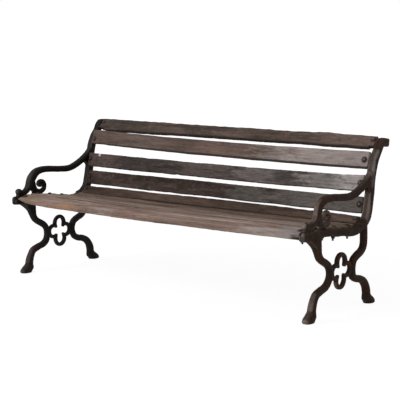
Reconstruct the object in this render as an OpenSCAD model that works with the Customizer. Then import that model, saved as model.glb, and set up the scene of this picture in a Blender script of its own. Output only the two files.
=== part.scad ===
// Park bench: two openwork iron end castings joined by four back slats and six seat slats.
// X runs along the bench, +Y points to the rear, Z is up, and the floor is at z = 0.

/* [Frame] */
// Distance between the mid-planes of the two end castings
casting_span = 1804; // [1400:2:2200]
// Depth of the bench, from the front of the nose to the end of the crest
depth = 730; // [700:2:760]
// Radius of the rail and arm bars
bar_r = 18; // [15:0.5:20]
// Radius of the upright bar that carries the back
upright_r = 19.5; // [17:0.5:20]

/* [Side profile] */
// Height of the rail's centre-line at the front
rail_h = 396; // [390:1:404]
// Height of the rail's centre-line where it dips before the back
rail_dip_h = 360; // [354:1:368]
// Depth of the boxy nose, from its top to its underside
nose_d = 41; // [38:1:46]
// Height of the centre-line's bend at the top of the crest
crest_h = 781; // [774:1:790]
// Height of the arm's centre-line at its lowest point
arm_h = 525; // [514:1:534]
// Diameter of the ball finial in front of the arm
ball_d = 32; // [28:1:36]

/* [Legs and feet] */
// Distance between the leg centre-lines at the waist
waist_gap = 196; // [184:2:206]
// Height of the waist, where the legs come closest
waist_h = 195; // [190:1:200]
// Radius of the leg bars at the waist
leg_r = 15.5; // [14:0.5:17]
// Distance between the ankles of the front and rear legs
ankle_gap = 482; // [460:2:500]
// Height of the ankle bumps above the floor
ankle_h = 32; // [29:1:36]
// Distance between the middles of the front and rear soles
sole_gap = 530; // [516:2:544]
// Radius of the ankle bumps
ankle_r = 23; // [21:0.5:25]
// Length of each sole, from front to rear
sole_l = 60; // [52:1:68]
// Width of each sole, along the bench
sole_w = 46; // [42:1:50]

/* [Quatrefoil and scroll] */
// Radius of the quatrefoil's bar
foil_bar_r = 9.5; // [8:0.5:11]
// Radius of the upper and lower lobes, to the bar's centre-line
tall_lobe_r = 34; // [31:1:36]
// Radius of the front and rear lobes, to the bar's centre-line
side_lobe_r = 31; // [29:1:32]
// Radius of the scroll's curl, from its eye to the centre-line of its bar
curl_r = 26.5; // [25:0.5:28]
// Radius of the scroll's bar where it leaves the arm
stem_r = 15; // [13:0.5:16]

/* [Slats] */
// Thickness of the back slats
back_t = 22; // [18:1:26]
// Thickness of the seat slats
seat_t = 28; // [24:1:32]
// Rounding of the long edges of every slat
edge_r = 4; // [2:0.5:6]
// Gap between a slat's end and the casting bar that it butts against
end_gap = 1; // [0.5:0.5:3]
// Depth of the clearance notches in the ends of the top slat
notch_d = 10; // [6:1:14]
// Length of the clearance notches in the ends of the top slat
notch_l = 26; // [18:1:34]

/* [Lugs and bolts] */
// Thickness of the casting lugs behind and under the slats
lug_t = 16; // [12:1:20]
// Width of the casting lugs
lug_w = 36; // [32:1:42]
// Distance from the bar's inner side to the bolt's axis
bolt_inset = 15; // [15:1:20]
// Diameter of the bolts
bolt_d = 10; // [8:1:10]
// Clearance of the bolt holes on diameter
hole_play = 1; // [0.6:0.1:1.4]
// Diameter of the domed bolt heads
head_d = 24; // [20:1:26]
// Height of the domed bolt heads
head_h = 6; // [4:0.5:7]
// Depth of the square neck under each bolt head
neck_h = 6; // [4:0.5:7]
// Length of the seat bolts under the head
seat_bolt_l = 65; // [60:1:76]
// Length of the back bolts under the head
back_bolt_l = 56; // [52:1:62]
// Outer diameter of the washers
washer_d = 28; // [24:1:30]
// Thickness of the washers
washer_t = 2.5; // [1.5:0.5:3]
// Height of the nuts
nut_h = 8; // [7:0.5:9]
// Size of the nuts across their flats
nut_af = 17; // [16:0.5:18]

/* [Hidden] */
$fn = 48;

// Colours of the iron, the three tones of the wood and the steel.
iron = [0.24, 0.20, 0.18];
back_wood = [0.55, 0.50, 0.46];
grey_wood = [0.50, 0.50, 0.47];
seat_wood = [0.62, 0.53, 0.45];
steel = [0.36, 0.30, 0.26];

// The bends of a bar are this much thicker than the runs between them, like knots on a branch.
bend_rise = 0.2;
// Each run reaches this far into the bends at its ends.
run_in = 1;
crest_end_r = 15.5;
// The legs and the quatrefoil are centred this far behind the middle of the bench's depth.
leg_mid = -24;
casting_x = casting_span / 2;
slat_l = casting_span - 2 * (upright_r + bend_rise) - 2 * end_gap;
bolt_x = casting_x - upright_r - bolt_inset;
hole_d = bolt_d + hole_play;
nut_play = 0.2;
neck_play = 0.4;

function mix(a, b, t) = a + (b - a) * t;
function unit(v) = v / norm(v);
function rear(v) = v * depth / 730;

// The bars are paths of straight runs and bends: each entry is [y, z, bend radius, bar radius].
// This one runs from the nose along the seat rail, up the back and over the crest.
long_bar = [
    [rear(-350), rail_h - 1, 0, bar_r + 1.5],
    [rear(-227), rail_h + 1, 590, bar_r + 0.5],
    [rear(89), rail_dip_h, 158, bar_r],
    [rear(190), rail_dip_h + 36, 81, upright_r],
    [rear(248), mix(rail_dip_h, crest_h, 0.682), 1500, upright_r],
    [rear(294), crest_h, 59, upright_r],
    [depth / 2 - 8, crest_h - 24, 0, upright_r - 1]];
crest_end = [depth / 2 - crest_end_r, crest_h - 21];

// The rail's and the upright's lines, used to place what is fixed to them.
function rail_z(y) = lookup(y, [for (i = [0:3]) [long_bar[i][0], long_bar[i][1]]]);
function upright_y(z) = lookup(z, [for (i = [3:5]) [long_bar[i][1], long_bar[i][0]]]);

// The arm runs from inside the upright forward, over its front bend and down to the ball.
ball_at = [rear(-320), rail_h + 42];
arm_bar = [
    [upright_y(arm_h + 88) - 4, arm_h + 88, 0, bar_r - 1],
    [rear(95), arm_h, 245, bar_r - 1],
    [rear(-213), arm_h + 25, 106, bar_r],
    [rear(-257), rail_h + 29, 52, bar_r - 5],
    [ball_at[0], ball_at[1], 0, bar_r - 7]];

// The scroll's stem leaves the arm's front end, touches the rail and curls up, over and in.
eye = [rear(-157), rail_h + 65];
scroll = concat([[rear(-236), rail_h + 95, 0, stem_r - 0.5]],
    [for (q = [[-54, -37, 62, 0], [30, -36, 33, -4], [29, 21, 23, -5.5], [-19, 28, 20, -6.5],
        [-18, -8, 8, -7.5], [4, -3, 0, -8]])
        [eye[0] + q[0] * curl_r / 27, eye[1] + q[1] * curl_r / 27, q[2], stem_r + q[3]]]);

// The legs, measured outward from their middle.
waist = waist_gap / 2;
ankle = ankle_gap / 2;
front_leg = [
    [228, rail_h - 35, 0, leg_r + 3.5],
    [184, waist_h + 74, 71, leg_r + 1.5],
    [waist - 3, waist_h + 42, 54, leg_r + 0.5],
    [waist, waist_h - 51, 51, leg_r],
    [ankle - 23, waist_h - 80, 57, leg_r + 2],
    [ankle, ankle_h, 0, leg_r + 3.5]];
rear_leg = [
    [195, rail_dip_h + 22, 0, leg_r + 0.5],
    [194, waist_h + 65, 54, leg_r + 0.5],
    [waist, waist_h + 54, 53, leg_r + 0.5],
    [waist, waist_h - 53, 51, leg_r],
    [ankle - 12, waist_h - 71, 81, leg_r + 2.5],
    [ankle, ankle_h, 0, leg_r + 3.5]];

// The quatrefoil's upper lobe, whose ends hook inward as cusps, and its side lobe.
cusp = [27, 21];
tall_lobe = [
    [-cusp[0], cusp[1], 0, foil_bar_r - 2],
    [-tall_lobe_r, 35, 12, foil_bar_r],
    [-tall_lobe_r, 42 + tall_lobe_r, tall_lobe_r, foil_bar_r],
    [tall_lobe_r, 42 + tall_lobe_r, tall_lobe_r, foil_bar_r],
    [tall_lobe_r, 35, 12, foil_bar_r],
    [cusp[0], cusp[1], 0, foil_bar_r - 2]];
side_reach = waist - leg_r - 3;
side_lobe = [
    [cusp[0], side_lobe_r - 0.5, 0, foil_bar_r - 0.6],
    [side_reach, side_lobe_r, side_lobe_r, foil_bar_r - 0.6],
    [side_reach, -side_lobe_r, side_lobe_r, foil_bar_r - 0.6],
    [cusp[0], 0.5 - side_lobe_r, 0, foil_bar_r - 0.6]];

// Slat stations. Back: [height, behind the upright's line, lean from level, width, shift].
// Seat: [distance to the rear, above the rail's line, slope from level, width, shift].
// The two middle slats of the back lie between the top and the bottom one.
top_slat_h = crest_h - 10;
low_slat_h = rail_dip_h + 115;
back_slats = [[top_slat_h, 16, 45, 64, 13], [mix(low_slat_h, top_slat_h, 0.7), -34, 74, 74, 0],
    [mix(low_slat_h, top_slat_h, 0.34), -37.5, 75, 73, 0], [low_slat_h, -20, 79, 72, 0]];
seat_slats = [[-305, 21, 13, 78, 0], [-215, 26, -5, 78, 0], [-125, 27, -6, 78, 0],
    [-35, 24, -6, 78, 0], [81, 31, 2, 104, 12], [156, 27, 30, 70, 0]];
stations = concat([for (q = back_slats) [upright_y(q[0]) + q[1], q[0], q[2], q[3], q[4]]],
    [for (q = seat_slats) [rear(q[0]), rail_z(rear(q[0])) + q[1], q[2], q[3], q[4]]]);
function is_seat(k) = k > 3;
function slat_t(k) = is_seat(k) ? seat_t : back_t;

// A round bar along a path. Where bends would meet, they are tightened to leave a short run.
function turn(c, i) = 180 - acos(unit(c[i - 1] - c[i]) * unit(c[i + 1] - c[i]));
module bar(path) {
    n = len(path) - 1;
    c = [for (q = path) [q[0], q[1]]];
    long = [for (i = [0:n - 1]) norm(c[i + 1] - c[i])];
    want = [for (i = [0:n]) i == 0 || i == n ? 0 : path[i][2] * tan(turn(c, i) / 2)];
    share = [for (i = [0:n - 1]) min(1, (long[i] - 1.2) / max(want[i] + want[i + 1], 0.001))];
    cut = [for (i = [0:n]) i == 0 || i == n ? 0 : want[i] * min(share[i - 1], share[i])];
    for (i = [0:n - 1]) {
        way = (c[i + 1] - c[i]) / long[i];
        a = c[i] + way * (cut[i] - (i > 0 ? run_in : 0));
        b = c[i + 1] - way * (cut[i + 1] - (i < n - 1 ? run_in : 0));
        translate([0, a[0], a[1]]) rotate([atan2(way[1], way[0]) - 90, 0, 0])
            cylinder(r1 = path[i][3], r2 = path[i + 1][3], h = norm(b - a));
    }
    for (i = [1:n - 1]) {
        from = unit(c[i] - c[i - 1]);
        to = unit(c[i + 1] - c[i]);
        side = from[0] * to[1] > from[1] * to[0] ? 1 : -1;
        bend = turn(c, i);
        bend_r = cut[i] / tan(bend / 2);
        mid = c[i] - from * cut[i] + side * bend_r * [-from[1], from[0]];
        start = atan2(from[1], from[0]) - 90 * side;
        translate([0, mid[0], mid[1]]) rotate([90, 0, 90])
            rotate([0, 0, side > 0 ? start : start - bend])
            rotate_extrude(angle = bend) translate([bend_r, 0]) circle(r = path[i][3] + bend_rise);
    }
}

// A foot at the end of a leg: the round ankle bump and a hoof of two toes with flat soles.
toe_h = 25;
module foot() {
    toe_r = sole_w / 2;
    spread = (sole_l - sole_w) / 2;
    sole = sole_gap / 2;
    translate([0, ankle - 3, ankle_h]) sphere(r = ankle_r);
    translate([0, sole - spread, 0]) cylinder(r1 = toe_r, r2 = toe_r - 4, h = toe_h);
    translate([0, sole + spread, 0]) cylinder(r1 = toe_r, r2 = toe_r - 7, h = toe_h - 6);
}

module quatrefoil() {
    for (turn = [0, 180]) rotate([turn, 0, 0]) {
        bar(tall_lobe);
        for (y = [-1, 1]) translate([0, y * cusp[0], cusp[1]]) sphere(r = foil_bar_r - 1);
        bar(side_lobe);
    }
}

// The nose: a block at the front end of the rail, rounded above and, seen from above, in front.
module nose() translate([0, -depth / 2, rail_h - 1 - nose_d / 2]) intersection() {
    rotate([90, 0, 90]) linear_extrude(2 * bar_r + 4, center = true) {
        translate([14, nose_d - 14]) circle(r = 14);
        translate([5, 5]) circle(r = 5);
        translate([0, 5]) square([36, nose_d - 19]);
        translate([5, 0]) square([31, 6]);
        translate([14, 10]) square([22, nose_d - 10]);
    }
    linear_extrude(nose_d) {
        translate([0, bar_r + 0.5]) circle(r = bar_r + 0.5);
        translate([-bar_r - 0.5, bar_r + 0.5]) square([2 * bar_r + 1, 30]);
    }
}

// The flare at the top of the front leg, a web with a straight rear edge.
module flare() translate([0, leg_mid, 0]) rotate([90, 0, 90])
    linear_extrude(2 * leg_r, center = true)
        polygon([[-258, rail_h - 6], [-256, rail_h - 36], [-233, rail_h - 59], [-210, rail_h - 86],
            [-196, rail_h - 104], [-197, rail_h - 6]]);

// Puts its children at a slat's station, with the outer face of the slat as the plane z = 0
// and with y running up the slat's width.
module at_station(k, x = 0) translate([x, stations[k][0], stations[k][1]]) rotate([stations[k][2], 0, 0])
    children();

// A lug on the inner side of the casting, which the slat's rear face rests on.
module lug(k) {
    reach = upright_r + bolt_inset;
    at_station(k) translate([0, 0, -slat_t(k) - lug_t]) linear_extrude(lug_t) {
        translate([-reach, 0]) circle(d = lug_w);
        translate([-reach, -lug_w / 2]) square([reach - 4, lug_w]);
    }
}
module lug_hole(k) at_station(k) translate([-upright_r - bolt_inset, 0, -slat_t(k) - lug_t - 1])
    cylinder(d = hole_d, h = lug_t + 2);

// The right end casting, with its mid-plane at x = 0 and its lugs towards -X.
module end_casting() color(iron) difference() {
    union() {
        bar(long_bar);
        translate([0, crest_end[0], crest_end[1]]) sphere(r = crest_end_r);
        nose();
        bar(arm_bar);
        translate([0, ball_at[0], ball_at[1]]) sphere(d = ball_d);
        bar(scroll);
        flare();
        translate([0, leg_mid, 0]) {
            mirror([0, 1, 0]) {
                bar(front_leg);
                foot();
            }
            bar(rear_leg);
            foot();
            translate([0, 0, waist_h + 1]) quatrefoil();
        }
        for (k = [0:9]) lug(k);
    }
    for (k = [0:9]) lug_hole(k);
}
module end_casting_right() translate([casting_x, 0, 0]) end_casting();
module end_casting_left() mirror([1, 0, 0]) end_casting_right();

// A board with rounded long edges, its outer face on the plane z = 0 and its length along X.
module board(l, w, t) rotate([90, 0, 90]) linear_extrude(l, center = true) translate([0, -t / 2]) {
    square([w, t - 2 * edge_r], center = true);
    square([w - 2 * edge_r, t], center = true);
    for (y = [-1, 1], z = [-1, 1]) translate([y * (w / 2 - edge_r), z * (t / 2 - edge_r)]) circle(r = edge_r);
}
module slat(k, tone) color(tone) difference() {
    at_station(k) translate([0, -stations[k][4], 0]) board(slat_l, stations[k][3], slat_t(k));
    for (x = [-bolt_x, bolt_x]) at_station(k, x) {
        translate([0, 0, -slat_t(k) - 1]) cylinder(d = hole_d, h = slat_t(k) + 2);
        translate([-hole_d / 2, -hole_d / 2, -neck_h - neck_play]) cube([hole_d, hole_d, neck_h + neck_play + 1]);
    }
    if (k == 0) for (x = [-1, 1]) at_station(k, x * (slat_l / 2 - notch_l / 2 + 1))
        translate([0, -stations[k][4] - stations[k][3] / 2, -slat_t(k) / 2])
            cube([notch_l + 2, 2 * notch_d, slat_t(k) + 2], center = true);
}
module back_slat_1() slat(0, back_wood);
module back_slat_2() slat(1, back_wood);
module back_slat_3() slat(2, grey_wood);
module back_slat_4() slat(3, grey_wood);
module seat_slat_1() slat(4, seat_wood);
module seat_slat_2() slat(5, seat_wood);
module seat_slat_3() slat(6, seat_wood);
module seat_slat_4() slat(7, seat_wood);
module seat_slat_5() slat(8, back_wood);
module seat_slat_6() slat(9, back_wood);

// A domed bolt with a square neck, its head seated on the plane z = 0 and its shank downward.
dome_r = (head_d * head_d / 4 + head_h * head_h) / (2 * head_h);
module bolt(l) {
    intersection() {
        translate([0, 0, head_h - dome_r]) sphere(r = dome_r);
        cylinder(d = head_d, h = head_h);
    }
    translate([0, 0, -l]) cylinder(d = bolt_d, h = l + 0.5);
    translate([-bolt_d / 2, -bolt_d / 2, -neck_h]) cube([bolt_d, bolt_d, neck_h + 0.5]);
}
module washer() difference() {
    cylinder(d = washer_d, h = washer_t);
    translate([0, 0, -1]) cylinder(d = hole_d, h = washer_t + 2);
}
module nut() difference() {
    cylinder(d = nut_af / cos(30), h = nut_h, $fn = 6);
    translate([0, 0, -1]) cylinder(d = bolt_d + nut_play, h = nut_h + 2);
}

BACK = [0:3];
SEAT = [4:9];
module bolts(side, which, l) color(steel) for (k = which) at_station(k, side * bolt_x) bolt(l);
module washers(side, which) color(steel) for (k = which) at_station(k, side * bolt_x)
    translate([0, 0, -slat_t(k) - lug_t - washer_t]) washer();
module nuts(side, which) color(steel) for (k = which) at_station(k, side * bolt_x)
    translate([0, 0, -slat_t(k) - lug_t - washer_t - nut_h]) nut();
module back_bolts_left() bolts(-1, BACK, back_bolt_l);
module back_bolts_right() bolts(1, BACK, back_bolt_l);
module seat_bolts_left() bolts(-1, SEAT, seat_bolt_l);
module seat_bolts_right() bolts(1, SEAT, seat_bolt_l);
module back_washers_left() washers(-1, BACK);
module back_washers_right() washers(1, BACK);
module seat_washers_left() washers(-1, SEAT);
module seat_washers_right() washers(1, SEAT);
module back_nuts_left() nuts(-1, BACK);
module back_nuts_right() nuts(1, BACK);
module seat_nuts_left() nuts(-1, SEAT);
module seat_nuts_right() nuts(1, SEAT);

end_casting_left();
end_casting_right();
back_slat_1();
back_slat_2();
back_slat_3();
back_slat_4();
seat_slat_1();
seat_slat_2();
seat_slat_3();
seat_slat_4();
seat_slat_5();
seat_slat_6();
back_bolts_left();
back_bolts_right();
seat_bolts_left();
seat_bolts_right();
back_washers_left();
back_washers_right();
seat_washers_left();
seat_washers_right();
back_nuts_left();
back_nuts_right();
seat_nuts_left();
seat_nuts_right();
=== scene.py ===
import math

import bpy
import numpy as np
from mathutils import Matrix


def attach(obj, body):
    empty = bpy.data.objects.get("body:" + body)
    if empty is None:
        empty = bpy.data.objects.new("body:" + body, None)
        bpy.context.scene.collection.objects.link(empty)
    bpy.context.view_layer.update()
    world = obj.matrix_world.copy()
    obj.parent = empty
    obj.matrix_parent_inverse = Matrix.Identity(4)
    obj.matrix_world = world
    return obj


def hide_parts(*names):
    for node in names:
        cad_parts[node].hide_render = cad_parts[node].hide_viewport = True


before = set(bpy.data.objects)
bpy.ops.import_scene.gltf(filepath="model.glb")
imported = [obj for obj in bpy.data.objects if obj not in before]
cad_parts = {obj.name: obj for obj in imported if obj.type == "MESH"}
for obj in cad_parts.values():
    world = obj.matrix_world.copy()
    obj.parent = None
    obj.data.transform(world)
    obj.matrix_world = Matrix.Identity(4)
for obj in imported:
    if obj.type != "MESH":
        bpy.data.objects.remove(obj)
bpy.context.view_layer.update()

# Sizes are in millimetres and are turned to metres when a mesh is made.
MM = 0.001
CASTING_X = 902.0  # from the bench's middle to the middle plane of a casting
SLAT_END = 881.3
BOLT_X = 867.5
FOIL_Y, FOIL_Z = -24.0, 196.0  # the middle of a casting's quatrefoil
ROUND = 28  # points round a ball, a hoof or a lug
BOLT_ROUND = 24


# ------------------------ curves, grids and noise

def smooth_path(points, steps):
    """A Catmull-Rom curve: between two stations every value is the cubic that passes through
    both with slopes taken from their neighbours."""
    p = np.array(points, float)
    p = np.vstack([2 * p[0] - p[1], p, 2 * p[-1] - p[-2]])
    a, b, c, d = p[:-3, None], p[1:-2, None], p[2:-1, None], p[3:, None]
    t = (np.arange(steps) / steps)[None, :, None]
    q = 0.5 * (2 * b + (c - a) * t + (2 * a - 5 * b + 4 * c - d) * t ** 2 + (3 * b - a - 3 * c + d) * t ** 3)
    return np.vstack([q.reshape(-1, p.shape[1]), p[-2]])


def tube_faces(rows, columns):
    """Quads of a grid whose columns close round a tube, with a fan of triangles to a pole at each end."""
    i, j = np.meshgrid(np.arange(rows - 1), np.arange(columns), indexing="ij")
    k = (j + 1) % columns
    quads = np.stack([i * columns + j, i * columns + k, (i + 1) * columns + k, (i + 1) * columns + j], -1)
    j = np.arange(columns)
    k = (j + 1) % columns
    first, last = rows * columns, rows * columns + 1
    start = np.stack([k, j, np.full(columns, first)], -1)
    end = np.stack([(rows - 1) * columns + j, (rows - 1) * columns + k, np.full(columns, last)], -1)
    return quads.reshape(-1, 4).tolist() + start.tolist() + end.tolist()


def joined(shapes):
    """Several shapes as one: their vertices stacked, and each one's faces counted on from the last."""
    vertices, faces, base = [], [], 0
    for v, f in shapes:
        vertices.append(v)
        faces += [[i + base for i in face] for face in f]
        base += len(v)
    return np.vstack(vertices), faces


def waves(p, seed, length, count=10):
    """Smooth noise: a sum of sines along seeded directions, each with a wavelength near length."""
    rng = np.random.default_rng(seed)
    total = np.zeros(len(p))
    for _ in range(count):
        way = rng.normal(size=3)
        way *= 2 * np.pi / (length * rng.uniform(0.6, 1.5)) / np.linalg.norm(way)
        total += np.sin(p @ way + rng.uniform(0, 2 * np.pi))
    return total / math.sqrt(count / 2)


def waves_along(x, seed, length):
    """Smooth noise along one line: sines with seeded phases and wavelengths near length."""
    rng = np.random.default_rng(seed)
    length = length * rng.uniform(0.6, 1.6, 8)
    return np.sin(2 * np.pi * (x[:, None] / length + rng.uniform(0, 1, 8))).sum(1) / 2


def worn_line(x, seed):
    """How far a sawn edge has worn in or out along a board: slow waves with finer ones on top, and a
    few short chips where a fine wave runs high."""
    chips = np.maximum(waves_along(x, seed + 4, 120) - 1.5, 0)
    return (0.55 * waves_along(x, seed, 500) + 0.3 * waves_along(x, seed + 1, 130)
            + 0.18 * waves_along(x, seed + 2, 40) + 0.1 * waves_along(x, seed + 3, 16) - 1.6 * chips)


def smooth_between(x, points):
    """Values between (x, value) points, eased with a cosine from each point to the next."""
    p = np.array(points, float)
    k = np.clip(np.searchsorted(p[:, 0], x) - 1, 0, len(p) - 2)
    t = np.clip((x - p[k, 0]) / (p[k + 1, 0] - p[k, 0]), 0, 1)
    return p[k, 1] + (p[k + 1, 1] - p[k, 1]) * (1 - np.cos(np.pi * t)) / 2


# ------------------------ shapes of the castings

def superellipse(sides, power):
    """Cosine and sine of the superellipse |c|^power + |s|^power = 1 round a section."""
    t = 2 * np.pi * np.arange(sides) / sides
    c, s = np.cos(t), np.sin(t)
    return np.sign(c) * np.abs(c) ** (2 / power), np.sign(s) * np.abs(s) ** (2 / power)


def cast_bar(stations, steps=8, sides=24, caps=(1, 1), power=2.5):
    """A bar carried along a curve in the plane of the casting. Each station is (y, z, half depth,
    half width), and the section is a superellipse. caps is the reach of each end's cap, which shrinks
    as a quarter circle: 0 leaves the end flat."""
    q = smooth_path(stations, steps)
    along = np.gradient(q[:, :2], axis=0)
    along /= np.linalg.norm(along, axis=1)[:, None]
    a = np.radians([30, 55, 75])
    for k, step in ((0, -1), (-1, 1)):
        if caps[k]:
            cap = np.repeat(q[k][None], 3, 0)
            cap[:, :2] += step * along[k] * (cap[:, 2] * 0.5 * caps[k] * np.sin(a))[:, None]
            cap[:, 2:] *= np.cos(a)[:, None]
            way = np.repeat(along[k][None], 3, 0)
            q = np.vstack([cap[::-1], q] if k == 0 else [q, cap])
            along = np.vstack([way, along] if k == 0 else [along, way])
    across = np.stack([-along[:, 1], along[:, 0]], 1)
    c, s = superellipse(sides, power)
    yz = q[:, None, :2] + across[:, None, :] * (q[:, 2, None] * c)[..., None]
    x = q[:, 3, None] * s
    rings = np.concatenate([x[..., None], yz], -1).reshape(-1, 3)
    poles = np.array([[0, *q[0, :2]], [0, *q[-1, :2]]])
    return np.vstack([rings, poles]), tube_faces(len(q), sides)


def boss(y, z, half_x, half_y, half_z, power=2.0):
    """A ball or a soft-edged block: the superellipsoid |x|^power + |y|^power + |z|^power = 1, each
    divided by its half size. A power of 2 is a ball, and 4 is a block with round corners."""
    a = np.linspace(0, np.pi, 16)[1:-1]
    x, r = -np.sign(np.cos(a)) * np.abs(np.cos(a)) ** (2 / power), np.sin(a) ** (2 / power)
    c, s = superellipse(ROUND, power)
    rings = np.stack([np.repeat((half_x * x)[:, None], ROUND, 1), y + half_y * r[:, None] * c,
                      z + half_z * r[:, None] * s], -1).reshape(-1, 3)
    return np.vstack([rings, [[-half_x, y, z], [half_x, y, z]]]), tube_faces(len(a), ROUND)


def web(outline, half_width):
    """A flat web: an outline in the casting's plane carried straight across it."""
    o = np.array(outline, float)
    n = len(o)
    v = np.vstack([np.column_stack([np.full(n, x), o]) for x in (-half_width, half_width)])
    j = np.arange(n)
    k = (j + 1) % n
    return v, np.stack([j, k, n + k, n + j], -1).tolist() + [j[::-1].tolist(), (n + j).tolist()]


def hoof(way, ankle, sole):
    """A hoof seen from above as level ovals, each (height, middle, half length, half width): a blunt
    wall above the flat sole, a pinch under the coronet, and the swell of the ankle. way is the side
    that the toe points to. ankle and sole are how far their middles lie from the quatrefoil's."""
    span = sole - ankle
    q = smooth_path([(60, 0, 20, 19.5), (50, 0.05, 21, 20.5), (40, 0.2, 25.5, 22.5), (32, 0.38, 32, 24),
                     (26, 0.52, 37, 25), (20, 0.7, 40, 25.5), (13, 0.92, 39, 26), (6, 1.06, 35.5, 26.3),
                     (1.2, 1.04, 33.5, 26)], 5)
    q = np.vstack([q, [0, 1.04, 32, 24.8]])
    t = 2 * np.pi * np.arange(ROUND) / ROUND
    y = way * ((ankle + span * q[:, 1])[:, None] + q[:, 2, None] * np.cos(t)) + FOIL_Y
    x = q[:, 3, None] * np.sin(t) * way
    z = np.repeat(q[:, 0, None], ROUND, 1)
    rings = np.stack([x, y, z], -1).reshape(-1, 3)
    poles = np.array([[0, way * ankle + FOIL_Y, q[0, 0]], [0, way * sole + FOIL_Y, 0]])
    return np.vstack([rings, poles]), tube_faces(len(q), ROUND)


def lug(y, z, lean, thickness):
    """A tongue on the casting's inner side, behind a slat: it runs along X, its width closes in a half
    circle past the bolt, and its section is a flat superellipse. Its middle lies behind the slat."""
    reach, half, deep, behind = 35.0, 17.5, 7.8, 8.0
    u = np.concatenate([-reach - half * np.sin(np.radians([86, 76, 62, 45, 25])), [-reach, -30, -20, -4]])
    wide = np.where(u < -reach, half * np.sqrt(np.maximum(1 - ((u + reach) / half) ** 2, 0.01)), half)
    t = 2 * np.pi * np.arange(ROUND) / ROUND
    c, s = np.cos(t), np.sin(t)
    c, s = np.sign(c) * np.abs(c) ** 0.6, np.sign(s) * np.abs(s) ** 0.3
    a = math.radians(lean)
    up, out = np.array([math.cos(a), math.sin(a)]), np.array([-math.sin(a), math.cos(a)])
    centre = np.array([y, z]) - out * (thickness + behind)
    yz = centre + wide[:, None, None] * c[:, None] * up + (deep * s)[None, :, None] * out
    rings = np.concatenate([np.repeat(u[:, None], ROUND, 1)[..., None], yz], -1).reshape(-1, 3)
    poles = np.array([[u[0] - 0.2, *centre], [u[-1], *centre]])
    return np.vstack([rings, poles]), tube_faces(len(u), ROUND)


# Stations of the bars: y, z, half depth in the casting's plane and half width across it.
UPRIGHT = [(126, 379, 17, 18), (164, 390, 19, 19), (193, 418, 20.5, 19.5), (207, 459, 20.5, 19.5),
           (216, 504, 20, 19.5), (223, 544, 19.5, 19.5), (229.5, 594, 18.5, 19.5), (241, 644, 18.5, 20),
           (262, 689, 18.5, 20), (288, 725, 17, 19.5), (308, 753.5, 20, 19.5), (330, 760, 19.5, 19.5),
           (350, 757, 20, 19.5), (366, 754.5, 20.5, 19)]
ARM = [(249, 652, 14, 16), (235, 627, 17, 17), (214, 605, 18, 18), (190, 586, 17.5, 18), (141, 559, 17, 18),
       (91, 539, 17, 18), (45, 530.5, 17, 18), (-24, 534, 17, 18), (-99, 541, 17, 18), (-154, 541, 18, 18),
       (-193, 531, 20.5, 18.5), (-220, 508, 22.5, 18.5), (-235, 484, 21, 18.5), (-246, 461, 17, 18),
       (-264, 440, 15.5, 16), (-287, 430, 15, 15), (-308, 431, 14, 13)]
SCROLL = [(-230, 490, 18, 16), (-223, 472, 18.5, 16.5), (-217, 453, 18, 16), (-204, 436, 17, 15.5),
          (-185, 427.5, 14.5, 14.5), (-160, 426, 13.5, 13), (-139, 435, 12.5, 12.5), (-132, 450, 11.5, 12),
          (-134, 465, 11, 12), (-145, 478, 10.5, 12), (-160, 482.5, 9.5, 11.5), (-173, 478, 9.5, 11.5),
          (-177, 468, 9.2, 11), (-171, 459.5, 9, 11), (-159, 457.5, 8.5, 10.5), (-149, 463, 8, 10)]
RAIL = [(-318, 395, 19, 17.5), (-304, 395, 20, 18), (-264, 396, 20, 18), (-204, 392, 18.5, 18),
        (-124, 386, 17.5, 18), (-24, 374, 17.5, 18), (56, 362, 17.5, 18), (106, 366, 17.5, 18), (150, 381, 17, 18)]
FRONT_LEG = [(-243, 380, 22, 17), (-240, 355, 22, 17), (-233, 331, 19.5, 17.5), (-222, 308, 17.5, 18),
             (-210, 286, 17, 18), (-189, 268, 17, 18), (-162, 254, 17, 18), (-136, 237, 16, 18),
             (-121, 214, 14, 18), (-119, 184, 14, 18), (-130, 156, 16, 18), (-154, 138, 16.5, 18),
             (-189, 128, 17, 18), (-227, 114, 17.5, 18), (-245, 89, 18.5, 18.5), (-255, 62, 20, 19.5),
             (-259, 42, 20, 19)]
FLARE = [(-312, 390), (-309, 371), (-291, 361), (-270, 347), (-250, 329), (-233, 309), (-219, 285), (-207, 268),
         (-195, 284), (-204, 297), (-209, 310), (-210, 330), (-210, 358), (-210, 388)]
REAR_LEG = [(171, 380, 16.5, 18), (174, 340, 16.5, 18), (174, 306, 16, 18), (166, 277, 16.5, 18),
            (144, 259, 17, 18), (113, 247, 17, 18), (86, 232, 16.5, 18), (74, 209, 16, 18), (73, 181, 16, 18),
            (85, 153, 16.5, 18), (113, 137, 17.5, 18), (150, 129, 18, 18), (180, 115, 18.5, 18),
            (202, 91, 19.5, 18.5), (212, 64, 20.5, 19.5), (215, 42, 20.5, 19)]
# The fillet of iron under the arm where it leaves the upright.
ARM_PIT = [(170, 563), (206, 572), (205, 528), (198, 541), (188, 551)]

# Each slat: Y and Z of its bolts on its outer face, its lean from level in degrees and its thickness.
STATIONS = [(307, 771, 45, 22), (226.5, 682, 74, 22), (194, 576, 75, 22), (188, 475, 79, 22),
            (-305, 416.5, 13, 28), (-215, 421.5, -5, 28), (-125, 412, -6, 28), (-35, 398, -6, 28),
            (81, 391, 2, 28), (156, 411, 30, 28)]


def arc(y, z, radius, start, end, depth, width):
    """Nine stations on a circular arc, its angles in degrees."""
    a = np.radians(np.linspace(start, end, 9))
    return [(y + radius * math.cos(v), z + radius * math.sin(v), depth, width) for v in a]


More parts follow.
